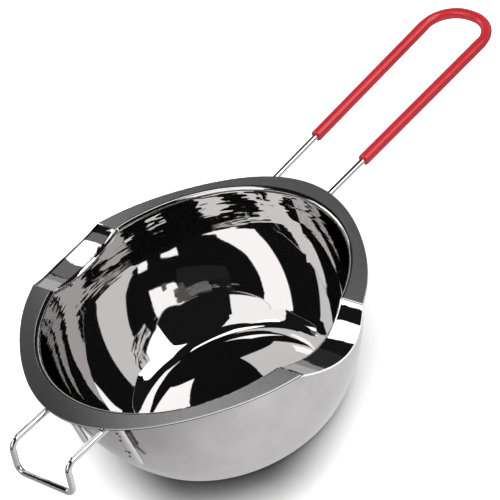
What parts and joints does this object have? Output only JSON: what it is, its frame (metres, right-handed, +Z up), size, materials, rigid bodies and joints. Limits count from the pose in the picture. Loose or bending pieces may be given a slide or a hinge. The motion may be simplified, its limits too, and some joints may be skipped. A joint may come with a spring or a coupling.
{
  "type": "candle wax melter",
  "caption": "Double boiler pouring bowl for melting candle wax, with pressed spouts in its flange, a long sleeved wire handle and a wire hook that rests on a pot's rim.",
  "frame": {"origin": "centre of the flat base's underside, on the table", "axes": "+X from the bowl's centre along the handle, +Z up through the bowl's mouth, +Y to one of the two pouring spouts"},
  "size_m": [0.2789, 0.1506, 0.0578],
  "materials": {
    "bowl_steel": "mirror polished inside, satin outside and on the flange",
    "wire_steel": "polished round wire",
    "weld_steel": "rough weld beads, slightly darkened",
    "silicone": "satin red silicone"
  },
  "bodies": {
    "root": {"bowl": "bowl_steel", "handle_wire": "wire_steel", "rest_hook": "wire_steel", "grip_sleeve": "silicone", "handle_welds": "weld_steel", "hook_welds": "weld_steel"}
  },
  "joints": []
}
